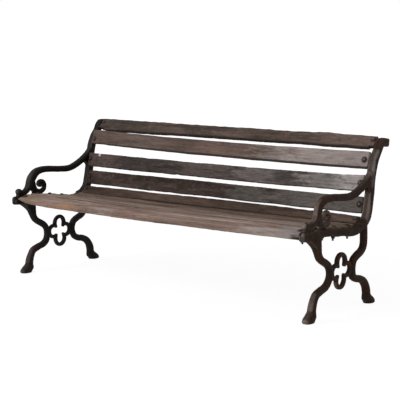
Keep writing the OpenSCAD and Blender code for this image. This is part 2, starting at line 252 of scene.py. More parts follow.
def quatrefoil():
    """Four lobes: two tall ones whose ends hook in as cusps, and two whose backs merge into the legs."""
    parts = []
    for way in (1, -1):
        hook = [(FOIL_Y - 25, FOIL_Z + way * 20, 7, 10), (FOIL_Y - 31, FOIL_Z + way * 27, 8.5, 11)]
        back = [(2 * FOIL_Y - s[0], *s[1:]) for s in hook[::-1]]
        tall = arc(FOIL_Y, FOIL_Z + way * 43 - 1, 34, 180, 180 - way * 180, 10.5, 12)
        parts.append(cast_bar(hook + tall + back, 5, 18))
        parts += [boss(FOIL_Y + 2 + end * 26.5, FOIL_Z + way * 22.5, 9.5, 8, 7.5) for end in (-1, 1)]
        side = arc(FOIL_Y + way * 47, FOIL_Z, 30, 90, 90 - way * 180, 10.5, 11.5)
        parts.append(cast_bar([(FOIL_Y + way * 26, FOIL_Z + 30.5, 8.5, 10.5)] + side
                              + [(FOIL_Y + way * 26, FOIL_Z - 30.5, 8.5, 10.5)], 5, 18))
        parts.append(boss(FOIL_Y + way * 86, FOIL_Z, 15, 10, 30))
    return parts


def sideways(shape, x):
    """The same shape, moved across the casting."""
    return shape[0] + [x, 0, 0], shape[1]


def casting_parts():
    """Every bar, ball, hoof, web and lug of one casting, overlapping where the iron runs together. The
    nose is a block with a step on its inner side, where the end of the front slat lies."""
    parts = [cast_bar(UPRIGHT, caps=(0, 0.15), power=4.5), cast_bar(ARM, caps=(0, 1), power=2.6),
             cast_bar(SCROLL, 6, 20), cast_bar(RAIL, power=3.4), cast_bar(FRONT_LEG, caps=(0, 0)),
             cast_bar(REAR_LEG, caps=(0, 0)), web(FLARE, 17), web(ARM_PIT, 15),
             sideways(boss(-336, 393.5, 12, 19.3, 21.8, 3.4), 6.5),
             sideways(boss(-334.5, 387.5, 11, 17.8, 14.5, 3.4), -7.5), boss(-319, 438, 17, 17.8, 17.5),
             cast_bar([(-320, 428, 12, 13), (-322, 412, 12, 12), (-324, 400, 12, 12)], 4, 18),
             boss(-207, 421, 13, 17, 14), hoof(-1, 231, 256), hoof(1, 236, 264)]
    return parts + quatrefoil() + [lug(*s) for s in STATIONS]


# ------------------------ meshes

def in_scene(name, data):
    """A new object in the scene, at the origin."""
    made = bpy.data.objects.new(name, data)
    bpy.context.collection.objects.link(made)
    return made


def new_piece(name, vertices, faces, replaced, flat_from=None, marks=()):
    """Puts millimetre vertices in a mesh at the origin and makes it a piece of the bench. Faces from
    flat_from on are shaded flat, and marks are named values, one for each vertex."""
    mesh = bpy.data.meshes.new(name)
    mesh.from_pydata((vertices * MM).tolist(), [], faces)
    smooth = np.ones(len(mesh.polygons), bool)
    if flat_from is not None:
        smooth[flat_from:] = False
    mesh.polygons.foreach_set("use_smooth", smooth)
    for mark_name, values in marks:
        mesh.attributes.new(mark_name, "FLOAT", "POINT").data.foreach_set("value", np.asarray(values, np.float32))
    mesh.update()
    piece = in_scene(name, mesh)
    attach(piece, "root")
    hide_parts(replaced)
    return piece


def skin_of(parts, voxel):
    """Runs overlapping closed shapes together into one skin, as iron does in a mould, with small
    fillets where they meet. Returns vertices in millimetres, their normals and the faces."""
    vertices, faces = joined(parts)
    mesh = bpy.data.meshes.new("casting_rough")
    mesh.from_pydata((vertices * MM).tolist(), [], faces)
    rough = in_scene("casting_rough", mesh)
    remesh = rough.modifiers.new("run_together", "REMESH")
    remesh.mode = "VOXEL"
    remesh.voxel_size = voxel * MM
    ease = rough.modifiers.new("ease", "SMOOTH")
    ease.factor = 0.5
    ease.iterations = 5
    made = bpy.data.meshes.new_from_object(rough.evaluated_get(bpy.context.evaluated_depsgraph_get()))
    place, normal = np.zeros(len(made.vertices) * 3), np.zeros(len(made.vertices) * 3)
    made.vertices.foreach_get("co", place)
    made.vertices.foreach_get("normal", normal)
    corners = np.zeros(len(made.loops), int)
    made.loops.foreach_get("vertex_index", corners)
    bpy.data.objects.remove(rough)
    bpy.data.meshes.remove(mesh)
    bpy.data.meshes.remove(made)
    return place.reshape(-1, 3) * 1000, normal.reshape(-1, 3), corners.reshape(-1, 4)


def proudness(place, normal, faces, rounds=14):
    """How far each vertex stands above the mean of its neighbourhood, along its normal: high on
    ridges and low in hollows, scaled so that the plain side of a bar is 0.5."""
    plain, gain = 0.9, 0.45
    pairs = np.vstack([faces[:, [k, (k + 1) % 4]] for k in range(4)])
    pairs = np.vstack([pairs, pairs[:, ::-1]])
    count = np.bincount(pairs[:, 0], minlength=len(place))[:, None]
    mean = place.copy()
    for _ in range(rounds):
        total = np.stack([np.bincount(pairs[:, 0], mean[pairs[:, 1], k], len(place)) for k in range(3)], 1)
        mean = 0.5 * mean + 0.5 * total / count
    return np.clip(0.5 + gain * (((place - mean) * normal).sum(1) - plain), 0, 1)


def make_castings():
    """The two end castings: one skin, mirrored, each with its own slight unevenness of the mould. The
    front of the arm is a little askew, its outer side forward, and the legs draw in to the feet. The
    left crest stands higher, and the foot of the right arm lies further back. A mark on every vertex
    is painted light: how much lighter the iron is drawn where it faces the front, towards the lamp."""
    grid, slant, toe_in, set_back, thinner = 2.5, 0.24, 4.2, 5, 3
    place, normal, faces = skin_of(casting_parts(), grid)
    proud = proudness(place, normal, faces)
    x, y, z = place.T
    crest = smooth_between(y, [(290, 0), (316, 6), (380, 6)])
    askew = smooth_between(y, [(-290, 1), (-215, 1), (-160, 0)]) * smooth_between(z, [(425, 0), (450, 1)])
    y -= slant * x * askew
    foot = (smooth_between(y, [(-290, 1), (-215, 1), (-190, 0)])
            * smooth_between(z, [(440, 0), (462, 1), (490, 1), (530, 0)]))
    # Painted light on the faces towards the front, weighted by height on the front and rear halves.
    front = smooth_between(z, [(0, 1), (110, 1), (180, 0.5), (370, 0.5), (440, 1)])
    rear = smooth_between(z, [(0, 0.35), (370, 0.35), (440, 1), (710, 1), (742, 0.35)])
    weather = np.where(y < FOIL_Y, front, rear) * np.clip(0.12 * normal[:, 2] - 0.95 * normal[:, 1], 0, 1)
    x -= toe_in * smooth_between(z, [(0, 1), (140, 1), (200, 0)])
    castings = []
    for side, way, seed in (("right", 1, 3), ("left", -1, 8)):
        p = place + normal * (0.22 * waves(place, seed, 70) + 0.12 * waves(place, seed + 50, 16))[:, None]
        p[:, 2] = np.maximum(p[:, 2], 0)
        if side == "right":
            p[:, 1] += foot * (set_back + thinner * np.clip(-normal[:, 1], 0, 1))
        else:
            p[:, 2] += crest
        p = p * [way, 1, 1] + [way * CASTING_X, 0, 0]
        f = faces if way > 0 else faces[:, ::-1]
        castings.append(new_piece("casting_" + side, p, f.tolist(), "end_casting_" + side,
                                  marks=[("proud", proud), ("weather", weather)]))
    return castings


# ------------------------ slats

def board_section(upper, lower, thick, radii):
    """Section of a board at every station: straight sides joined by four quarter circles. Returns the
    points (across, depth below the outer face) and how near each is to an outer edge, from 0 to 1."""
    corners = []
    for k in range(4):
        r = radii[:, k]
        a = np.radians(90 * k + np.array([0, 22.5, 45, 67.5, 90]))
        c = upper - r if k in (0, 3) else r - lower
        s = -r if k < 2 else r - thick
        middle = np.stack([c, s], 1)
        corners.append(middle[:, None] + r[:, None, None] * np.stack([np.cos(a), np.sin(a)], 1))
    ring, edge = [], []
    for k, inner in enumerate((17, 4, 9, 4)):
        t = (np.arange(1, inner + 1) / (inner + 1))[None, :, None]
        ring += [corners[k], corners[k][:, -1:] * (1 - t) + corners[(k + 1) % 4][:, :1] * t]
        edge += [0.6, 0.9, 1, 0.9, 0.6, 0.25] + [0.0] * (inner - 2) + [0.25]
    return np.concatenate(ring, 1), edge


def board(part, number, stations, seed, rough, upper_by=None, lower_by=None, thin_by=None, worn=None,
          bolt_at=(0.0, 0.0)):
    """A weathered board of the back or the seat. Stations along it are (x, y, z, lean, half width,
    thickness) at the middle of its outer face. Its edges and corner radii wander along the board.
    upper_by and lower_by add (x, millimetres) to an edge, and thin_by takes them off the thickness.
    worn is (length, upper radius, lower radius, retreat) of the rounded left end. The mark bolt falls
    off round the left and right bolts, which stand bolt_at millimetres above the middle line."""
    q = smooth_path(stations, 12)
    left, right = q[0, 0], q[-1, 0]
    near = np.array([0, 0.5, 1.5, 3, 6, 9, 12, 15, 18, 21, 25, 30, 36, 43])
    x = np.unique(np.round(np.concatenate([np.linspace(left + 50, right - 50, 260), left + near, right - near]), 3))
    n = len(x)
    y, z, lean, half, thick = (np.interp(x, q[:, 0], q[:, k]) for k in range(1, 6))
    upper = half + rough * worn_line(x, seed)
    lower = half + rough * worn_line(x, seed + 10)
    if upper_by:
        upper += smooth_between(x, upper_by)
    if lower_by:
        lower += smooth_between(x, lower_by)
    if thin_by:
        thick = thick - smooth_between(x, thin_by)
    radii = np.stack([3.2 + rough * 0.8 * waves_along(x, seed + 20 + k, 90) for k in range(4)], 1)
    if worn:
        reach, r_up, r_low, retreat = worn
        end = np.clip(1 - (x - left) / reach, 0, 1) ** 1.6
        radii[:, 0] += end * r_up
        radii[:, 1] += end * r_low
        lower -= end ** 1.5 * retreat
    radii = np.clip(radii, 1.2, np.minimum(thick - 4, 24)[:, None])
    radii[:, 2:] = np.minimum(radii[:, 2:], 3.0)
    ring, edge = board_section(upper, lower, thick, radii)
    sides = ring.shape[1]
    chamfer, fade = 0.9, 0.7
    inset = chamfer * np.exp(-np.minimum(x - left, right - x) / fade)
    ring[..., 0] *= (1 - inset / half)[:, None]
    ring[..., 1] = (ring[..., 1] + thick[:, None] / 2) * (1 - 2 * inset / thick)[:, None] - thick[:, None] / 2
    across = np.where(ring[..., 0] > 0, ring[..., 0] / upper[:, None], ring[..., 0] / lower[:, None])
    from_bolt = np.hypot((np.abs(x) - BOLT_X)[:, None], ring[..., 0] - np.where(x < 0, *bolt_at)[:, None])
    ring[..., 1] += (rough * 0.5 * waves_along(x, seed + 30, 600))[:, None] * (1 - across ** 2)
    place = np.stack([np.repeat(x[:, None], sides, 1), ring[..., 0], ring[..., 1]], -1).reshape(-1, 3)
    fibre = 0.22 * rough * waves(place * [0.06, 1, 1], seed + 31, 8)
    fibre += 0.1 * waves(place * [0.12, 1, 1], seed + 32, 4)
    ring[..., 1] += fibre.reshape(n, sides)
    a = np.radians(lean + rough * 0.7 * waves_along(x, seed + 33, 900))
    up = np.stack([np.cos(a), np.sin(a)], 1)
    out = np.stack([-np.sin(a), np.cos(a)], 1)
    yz = np.stack([y, z], 1)[:, None] + ring[..., :1] * up[:, None] + ring[..., 1:] * out[:, None]
    rings = np.concatenate([np.repeat(x[:, None, None], sides, 1), yz], -1)
    vertices = np.vstack([rings.reshape(-1, 3), rings[[0, -1]].mean(1)])
    faces = tube_faces(n, sides)
    return new_piece(f"slat_{part}_{number}", vertices, faces, f"{part}_slat_{number}",
                     len(faces) - 2 * sides,  # the two ends
                     [("edge", np.append(np.tile(edge, n), [0.3, 0.3])), ("across", np.append(across, [0, 0])),
                      ("bolt", np.append(np.exp(-(np.maximum(from_bolt - 12, 0) / 6) ** 2), [0, 0]))])


def slat(station, half, shift=0.0, rise=(0.0, 0.0), sag=0.0, thicker=0.0, longer=0.0):
    """Stations of a slat from its left end to its right end. shift moves its middle down its face,
    rise lifts the left and right ends along the face, sag lowers its middle like a long beam, thicker
    adds to its thickness, and longer moves its right end out."""
    y, z, lean, thick = STATIONS[station]
    thick += thicker
    a = math.radians(lean)
    t = np.linspace(0, 1, 9)
    up = -shift + rise[0] + (rise[1] - rise[0]) * t
    drop = sag * np.sin(np.pi * t)
    return np.stack([SLAT_END * (2 * t - 1) + longer * t, y + up * math.cos(a), z + up * math.sin(a) - drop,
                     np.full(9, lean), np.full(9, half), np.full(9, thick)], 1)


def make_slats():
    """The ten boards, each with the tilt, taper and wear that the photo shows."""
    return [
        board("back", 1, slat(0, 36.5, 12.5), 11, 1.0, bolt_at=(12.5, 12.5),
              upper_by=[(-883, 1.5), (-800, 3), (-680, 1), (-560, 0.5), (-440, 2.8), (-320, 0), (-200, -1),
                        (150, 0.7), (360, -2), (500, 0), (600, 6), (680, 2), (770, 1.3), (840, -2), (883, -2)],
              lower_by=[(-883, -12), (-862, -12), (-856, -7), (-838, -7), (-828, 4), (-700, 4), (-640, 1.5),
                        (-540, 2), (-440, 0.5), (-300, -1.5), (0, -1), (175, -3), (330, -1), (500, -3), (645, 0),
                        (750, -2.5), (856, -2.5), (861, -11), (883, -11)]),
        board("back", 2, slat(1, 37, 0, (3, 0), longer=4.5), 121, 0.6,
              upper_by=[(-835, 11), (-610, 6), (-520, 5.4), (-440, 2.5), (-350, 0.5), (0, -0.5), (100, -2),
                        (350, -2), (500, 0), (690, 0.5), (760, 1.9), (850, 3.7)],
              lower_by=[(-816, -8.4), (-750, -5), (-650, -2.3), (-560, -1.5), (-480, 0), (-400, 1.5), (-300, 3),
                        (-200, 4.8), (0, 5.7), (100, 6.5), (300, 7.5), (430, 8), (640, 7.7), (780, 5.5), (870, 4)],
              bolt_at=(-3, 0)),
        board("back", 3, slat(2, 36.5, 8), 231, 1.0, bolt_at=(8, 8),
              upper_by=[(-800, 2), (-700, 3), (-560, 0.4), (-450, -1), (-350, 1), (-250, 1.3), (-180, -1), (0, 0),
                        (200, -1), (300, 0), (400, 2), (500, 3), (650, 2.8), (760, 4), (800, 7.2), (850, 9),
                        (880, 11.7)],
              lower_by=[(-829, -2.6), (-740, -0.5), (-600, 1), (-300, 0), (-150, -0.5), (0, 2), (200, 1.4),
                        (430, 1.5), (540, -0.2), (630, -2), (680, -4), (730, -3), (790, -6)]),
        board("back", 4, slat(3, 39, 3), 341, 1.0, bolt_at=(3, 3),
              upper_by=[(-700, 0), (-600, -1), (-400, -1), (-320, -2), (-180, 2), (-80, 0.8), (150, -1.2),
                        (400, -1), (500, -2.2), (600, -3), (640, -4.2), (690, -2.8), (723, 0.6), (770, 2.2)],
              lower_by=[(-829, -0.6), (-600, -1.5), (-476, 1), (-400, 0), (-350, 1), (-300, -0.5), (-225, 2),
                        (-150, 1), (-80, -1), (0, -3), (100, -0.5), (240, 2), (370, -0.5), (530, 2), (600, -0.5),
                        (866, 1)]),
        board("seat", 1, slat(4, 39, sag=5, thicker=4), 451, 1.3, worn=(50, 6, 8, 1.5),
              thin_by=[(-881, 25), (-868, 21), (-849, 17), (-830, 10), (-793, 6.5), (-756, 5), (-660, 2),
                       (-560, 1), (-480, 0)]),
        *[board("seat", k, slat(k + 3, 39, sag=3), 341 + 110 * k, 1.2) for k in (2, 3, 4)],
        board("seat", 5, slat(8, 52, 12, sag=3), 891, 1.2, bolt_at=(12, 12)),
        board("seat", 6, slat(9, 35), 901, 1.0,
              upper_by=[(-880, -9), (-500, -6), (0, -2.5), (400, -4), (640, -8), (880, -12)]),
    ]


# ------------------------ bolts

def bolt(station, x, length):
    """A domed coach bolt, turned round its own axis: a dome that is a part of a ball, a short rim, the
    shank, and at its tip a screw thread, whose radius rises and falls with depth plus turn. Returns its
    vertices, its faces and how far each vertex is from the middle of the head, from 0 to 1."""
    y, z, lean, _ = STATIONS[station]
    head, ball, above, shank, threaded, pitch, cut = 12.0, 15.0, 0.6, 4.9, 24, 1.5, 0.75
    r = head * np.sin(np.radians(np.array([8, 18, 28, 38, 50, 62, 74, 84])))
    sunk = math.sqrt(ball ** 2 - head ** 2)
    dome = np.sqrt(ball ** 2 - r ** 2) - sunk + above
    profile = list(zip(dome, r)) + [(0.5, head), (-0.2, 11.6), (-0.3, 5)]
    first = len(profile)
    thread = np.arange(length - threaded, length - 1.4, 0.3)
    profile += [(-s, shank) for s in thread]
    depth, radius = np.array(profile + [(-length + 0.8, 4.2), (-length, 3.6)]).T
    turn = -2 * np.pi * np.arange(BOLT_ROUND) / BOLT_ROUND
    wave = np.abs((depth[:, None] / pitch - turn / (2 * np.pi)) % 1 - 0.5) * 2
    row = np.arange(len(depth))
    on_thread = (row >= first) & (row < first + len(thread))
    radius = radius[:, None] - on_thread[:, None] * cut * wave
    a = math.radians(lean)
    up, out = np.array([0, math.cos(a), math.sin(a)]), np.array([0, -math.sin(a), math.cos(a)])
    seat = np.array([x, y, z])
    rings = (seat + depth[:, None, None] * out + (radius * np.cos(turn))[..., None] * [1, 0, 0]
             + (radius * np.sin(turn))[..., None] * up)
    poles = np.stack([seat + (ball - sunk + above) * out, seat - length * out])
    rim = np.minimum(radius / head, 1) * (depth[:, None] > 0) + (depth[:, None] <= 0)
    return np.vstack([rings.reshape(-1, 3), poles]), tube_faces(len(depth), BOLT_ROUND), np.append(rim, [0, 1])


def make_bolts():
    """The twenty bolts in four pieces: back and seat, left and right."""
    pieces = []
    for place, stations, length in (("back", range(4), 56.0), ("seat", range(4, 10), 65.0)):
        for side, way in (("left", -1), ("right", 1)):
            made = [bolt(station, way * BOLT_X, length) for station in stations]
            vertices, faces = joined([m[:2] for m in made])
            pieces.append(new_piece(f"coach_bolts_{place}_{side}", vertices, faces,
                                    f"{place}_bolts_{side}", marks=[("rim", np.concatenate([m[2] for m in made]))]))
    return pieces


# ------------------------ shader helpers

def shade(name):
    """A new material with its Principled shader and its object coordinates."""
    mat = bpy.data.materials.new(name)
    mat.use_nodes = True
    tree = mat.node_tree
    tree.nodes.clear()
    output = tree.nodes.new("ShaderNodeOutputMaterial")
    shader = tree.nodes.new("ShaderNodeBsdfPrincipled")
    tree.links.new(shader.outputs[0], output.inputs[0])
    return mat, tree, shader, tree.nodes.new("ShaderNodeTexCoord").outputs["Object"]


def put(tree, socket, value):
    """Sets a socket to a number or a colour, or links another socket to it."""
    if isinstance(value, tuple):
        socket.default_value = (*value, 1)
    elif isinstance(value, (int, float)):
        socket.default_value = value if socket.type == "VALUE" else (value, value, value, 1)
    else:
        tree.links.new(value, socket)


def stretched(tree, coords, scale, shift):
    """Coordinates stretched and moved, as along the grain."""
    node = tree.nodes.new("ShaderNodeMapping")
    put(tree, node.inputs["Vector"], coords)
    node.inputs["Scale"].default_value = scale
    node.inputs["Location"].default_value = shift
    return node.outputs[0]


def noise(tree, coords, scale, shift, detail, rough, warp=0.0):
    """Fractal noise on the stretched coordinates."""
    vector = stretched(tree, coords, scale, shift)
    node = tree.nodes.new("ShaderNodeTexNoise")
    put(tree, node.inputs["Vector"], vector)
    for socket, value in (("Scale", 1.0), ("Detail", detail), ("Roughness", rough), ("Distortion", warp)):
        node.inputs[socket].default_value = value
    return node.outputs[0]


def split_lines(tree, vector):
    """Distance to the nearest boundary of stretched cells: thin lines along the grain."""
    node = tree.nodes.new("ShaderNodeTexVoronoi")
    node.feature = "DISTANCE_TO_EDGE"
    put(tree, node.inputs["Vector"], vector)
    node.inputs["Scale"].default_value = 1.0
    return node.outputs["Distance"]


def ramp(tree, value, *stops):
    """A colour ramp of (place, grey or colour) stops."""
    node = tree.nodes.new("ShaderNodeValToRGB")
    bar = node.color_ramp
    while len(bar.elements) < len(stops):
        bar.elements.new(0.5)
    for element, (where, colour) in zip(bar.elements, stops):
        element.position = where
        element.color = (*colour, 1) if isinstance(colour, tuple) else (colour, colour, colour, 1)
    put(tree, node.inputs[0], value)
    return node.outputs[0]


def blend(tree, share, first, second, how="MIX"):
    """Mixes two colours or numbers; each may be a socket, a colour or a number."""
    node = tree.nodes.new("ShaderNodeMix")
    node.data_type = "RGBA"
    node.blend_type = how
    put(tree, node.inputs[0], share)
    put(tree, node.inputs[6], first)
    put(tree, node.inputs[7], second)
    return node.outputs[2]


def reckon(tree, operation, first, second=0.0):
    """One arithmetic step on numbers."""
    node = tree.nodes.new("ShaderNodeMath")
    node.operation = operation
    put(tree, node.inputs[0], first)
    put(tree, node.inputs[1], second)
    return node.outputs[0]


def times(tree, first, second, share=1.0):
    """One colour multiplied by another."""
    return blend(tree, share, first, second, "MULTIPLY")


def away_from(tree, value, middle, reach):
    """How far a value lies from the middle, counted in reaches."""
    return reckon(tree, "DIVIDE", reckon(tree, "ABSOLUTE", reckon(tree, "SUBTRACT", value, middle)), reach)


def ragged_by(tree, value, rag, amount):
    """The value moved up or down by noise round its middle, which gives a stain a ragged edge."""
    return reckon(tree, "ADD", value, reckon(tree, "MULTIPLY", reckon(tree, "SUBTRACT", 0.5, rag), amount))


def mark(tree, name):
    """A value that the mesh carries at each vertex."""
    node = tree.nodes.new("ShaderNodeAttribute")
    node.attribute_name = name
    return node.outputs["Fac"]


def surface(tree, shader, colour, rough, gloss, height, strength, distance):
    """Gives a shader its colour, roughness and gloss, and raises it by the height's grey value."""
    put(tree, shader.inputs["Base Color"], colour)
    put(tree, shader.inputs["Roughness"], rough)
    put(tree, shader.inputs["Specular IOR Level"], gloss)
    node = tree.nodes.new("ShaderNodeBump")
    node.inputs["Strength"].default_value = strength
    node.inputs["Distance"].default_value = distance
    put(tree, node.inputs["Height"], height)
    tree.links.new(node.outputs[0], shader.inputs["Normal"])


def tone(r, g, b):
    """A colour written as it looks on screen, 0 to 255, turned to linear light."""
    return tuple((c / 255 / 12.92) if c <= 10 else ((c / 255 + 0.055) / 1.055) ** 2.4 for c in (r, g, b))


def shade_by(colour, gain):
    """The colour made darker or lighter."""
    return tuple(c * gain for c in colour)


# ------------------------ materials

def wood(name, seed, dark, mid, pale, patches=(), speckle=0.0, low_dirt_and_shade=0.35, cracks=0.7, mottle=0.5,
         band_top=0.09):
    """Weathered timber. Broad and fine streaks run along the board under blotches of bleached and damp
    wood, dark splits follow the grain, and pale flecks of dry fibre lie on top. Patches are stains, and
    some are painted shade (middle and half length along X in metres, middle and half width across from
    -1 to 1, colour, strength); with a seventh value the middle and half width are heights in metres. A
    band along the lower edge, up to band_top, is darker by the share given for it: dirt, and painted
    shade along that edge. The wood round each bolt is darker too: rust, and painted shade of the gap
    round the head."""
    mat, tree, shader, coords = shade(name)
    streak = noise(tree, coords, (1.3, 46, 46), (seed, 0, 0), 5, 0.62, 0.7)
    broad = noise(tree, coords, (2.6, 15, 15), (seed * 2, 1, 0), 4, 0.6, 0.5)
    fibre = noise(tree, coords, (9, 230, 230), (seed, 2, 0), 5, 0.7, 0.2)
    grit = noise(tree, coords, (90, 260, 260), (seed, 3, 0), 3, 0.6)
    colour = ramp(tree, streak, (0.30, dark), (0.47, mid), (0.56, mid), (0.74, pale))
    colour = blend(tree, ramp(tree, broad, (0.36, 0.75), (0.50, 0.0)), colour, shade_by(dark, 0.85))
    colour = blend(tree, ramp(tree, broad, (0.52, 0.0), (0.72, 0.6)), colour, pale)
    axes = tree.nodes.new("ShaderNodeSeparateXYZ")
    put(tree, axes.inputs[0], coords)
    along, width = axes.outputs[0], mark(tree, "across")
    ragged = noise(tree, coords, (10, 55, 55), (seed, 5, 0), 5, 0.65, 0.6)
    for x, reach, v, wide, stain, strength, *level in patches:
        dx, dv = away_from(tree, along, x, reach), away_from(tree, axes.outputs[2] if level else width, v, wide)
        away = ragged_by(tree, reckon(tree, "MAXIMUM", dx, dv), ragged, 1.9)
        colour = blend(tree, ramp(tree, away, (0.45, strength), (1.0, 0.0)), colour, stain)
    blotch = noise(tree, coords, (17, 40, 40), (seed, 9, 0), 5, 0.66, 1.0)
    colour = blend(tree, ramp(tree, blotch, (0.54, 0.0), (0.68, 0.25 * mottle)), colour, tone(120, 98, 82))
    colour = times(tree, colour, ramp(tree, blotch, (0.32, 1 - 0.6 * mottle), (0.47, 1.0), (0.53, 1.0),
                                      (0.68, 1 + 0.5 * mottle)))
    colour = times(tree, colour, ramp(tree, fibre, (0.30, 0.66), (0.50, 1.0), (0.72, 1.26)))
    lines = split_lines(tree, stretched(tree, coords, (2.3, 62, 62), (seed, 0, 0)))
    split = ramp(tree, lines, (0.0, 1.0), (0.035, 0.0))
    split = times(tree, split, ramp(tree, ragged, (0.44, 0.0), (0.58, cracks)))
    colour = blend(tree, split, colour, shade_by(dark, 0.35))
    if speckle:
        fleck = noise(tree, coords, (36, 140, 140), (seed, 7, 0), 4, 0.65)
        fleck = times(tree, ramp(tree, fleck, (0.53, 0.0), (0.68, speckle)),
                      ramp(tree, ragged, (0.42, 0.0), (0.56, 1.0)))
        colour = blend(tree, fleck, colour, pale)
    # Dirt, and painted shade, darken the lower edge.
    low = ramp(tree, reckon(tree, "ADD", width, 1.0), (0.0, low_dirt_and_shade), (band_top, low_dirt_and_shade), (band_top + 0.06, 0.0))
    colour = blend(tree, low, colour, shade_by(dark, 0.45))
    colour = blend(tree, ramp(tree, mark(tree, "edge"), (0.5, 0.0), (1.0, 0.15)), colour, pale)
    # Round each bolt: rust, and the painted shade of the gap round the head.
    near = times(tree, ramp(tree, mark(tree, "bolt"), (0.1, 0.0), (0.8, 0.75)),
                 ramp(tree, ragged, (0.30, 0.5), (0.5, 1.0)))
    colour = blend(tree, near, colour, tone(58, 40, 33))
    dull = ramp(tree, fibre, (0.3, 0.95), (0.7, 0.74))
    height = blend(tree, 0.35, fibre, grit)
    height = blend(tree, split, height, 0.0)
    surface(tree, shader, colour, dull, 0.2, height, 0.7, 0.0018)
    return mat


def iron(name, skin, rusty, dust_and_light, rust, dust, front_light, spots=()):
    """Cast iron long out of doors: a nearly black skin, purple-brown rust in patches, pale dust and
    painted highlights on ridges, painted light on the faces towards the front, darker hollows, a sandy
    cast surface and the mould's parting line. Spots are stains, and some are painted light (middle in Y
    and Z and half length in both, in metres, colour, strength)."""
    mat, tree, shader, coords = shade(name)
    broad = noise(tree, coords, (8, 8, 8), (0, 0, 0), 4, 0.6, 0.3)
    patch = noise(tree, coords, (21, 21, 21), (3, 1, 7), 5, 0.68, 0.5)
    wear = noise(tree, coords, (60, 60, 60), (5, 2, 1), 5, 0.7, 0.3)
    pit = noise(tree, coords, (170, 170, 170), (0, 0, 0), 4, 0.65)
    sand = noise(tree, coords, (520, 520, 520), (0, 0, 0), 2, 0.6)
    proud = mark(tree, "proud")
    colour = ramp(tree, broad, (0.34, shade_by(skin, 0.72)), (0.50, skin), (0.68, shade_by(skin, 1.35)))
    colour = blend(tree, ramp(tree, patch, (0.47, 0.0), (0.60, rust)), colour, rusty)
    axes = tree.nodes.new("ShaderNodeSeparateXYZ")
    put(tree, axes.inputs[0], coords)
    for y, z, reach_y, reach_z, stain, strength in spots:
        dy, dz = away_from(tree, axes.outputs[1], y, reach_y), away_from(tree, axes.outputs[2], z, reach_z)
        away = ragged_by(tree, reckon(tree, "MAXIMUM", dy, dz), wear, 1.2)
        colour = blend(tree, ramp(tree, away, (0.6, strength), (1.0, 0.0)), colour, stain)
    # Pale dust on the ridges, with painted highlights where the ridges catch the light.
    ridge_dust_and_highlight = times(tree, ramp(tree, proud, (0.50, 0.0), (0.82, dust)), ramp(tree, wear, (0.38, 0.15), (0.6, 1.0)))
    colour = blend(tree, ridge_dust_and_highlight, colour, dust_and_light)
    # Painted light: the faces towards the front are drawn lighter, as the lamp lights them.
    front = times(tree, ramp(tree, mark(tree, "weather"), (0.45, 0.0), (0.92, front_light)),
                  ramp(tree, patch, (0.36, 0.45), (0.52, 1.0)))
    colour = blend(tree, front, colour, dust_and_light)
    # Darker in the hollows.
    colour = blend(tree, ramp(tree, proud, (0.12, 0.75), (0.42, 0.0)), colour, shade_by(skin, 0.45))
    colour = times(tree, colour, ramp(tree, pit, (0.32, 0.62), (0.5, 1.0), (0.68, 1.35)), 0.9)
    dull = ramp(tree, patch, (0.35, 0.62), (0.62, 0.85))
    off = reckon(tree, "SUBTRACT", reckon(tree, "ABSOLUTE", axes.outputs[0]), CASTING_X * MM)
    seam = ramp(tree, reckon(tree, "ABSOLUTE", off), (0.0004, 1.0), (0.0016, 0.0))
    height = blend(tree, 0.35, pit, sand)
    height = blend(tree, 0.25, height, seam, "ADD")
    surface(tree, shader, colour, dull, 0.12, height, 0.6, 0.0014)
    return mat


def rusty_steel(name, worn=None):
    """Bolts, washers and nuts: dark steel under brown rust, worn paler in spots. On the bolts the middle
    of the dome is lighter, to the colour worn, by wear and a painted highlight, and its rim is black,
    painted shade where the head meets the wood."""
    mat, tree, shader, coords = shade(name)
    patch = noise(tree, coords, (140, 140, 140), (0, 0, 0), 4, 0.65)
    grit = noise(tree, coords, (700, 700, 700), (0, 0, 0), 2, 0.6)
    colour = ramp(tree, patch, (0.34, tone(26, 20, 19)), (0.54, tone(44, 34, 31)), (0.72, tone(78, 60, 52)))
    if worn:
        rim = ragged_by(tree, mark(tree, "rim"), patch, -0.6)
        # The middle of the dome lighter: wear and a painted highlight.
        colour = blend(tree, ramp(tree, rim, (0.25, 0.8), (0.5, 0.0)), colour, worn)
        # The rim black: painted shade where the head meets the wood.
        colour = blend(tree, ramp(tree, rim, (0.70, 0.0), (0.92, 0.7)), colour, tone(30, 23, 21))
    dull = ramp(tree, patch, (0.3, 0.5), (0.7, 0.8))
    surface(tree, shader, colour, dull, 0.25, grit, 0.4, 0.0006)
    return mat


def paint(piece, mat):
    """Gives a piece one material in place of what it has."""
    piece.data.materials.clear()
    piece.data.materials.append(mat)


def whole(x, reach, stain, strength):
    """A patch over the whole width of a board."""
    return x, reach, 0.0, 2.0, stain, strength


castings = make_castings()
slats = make_slats()
bolts = make_bolts()

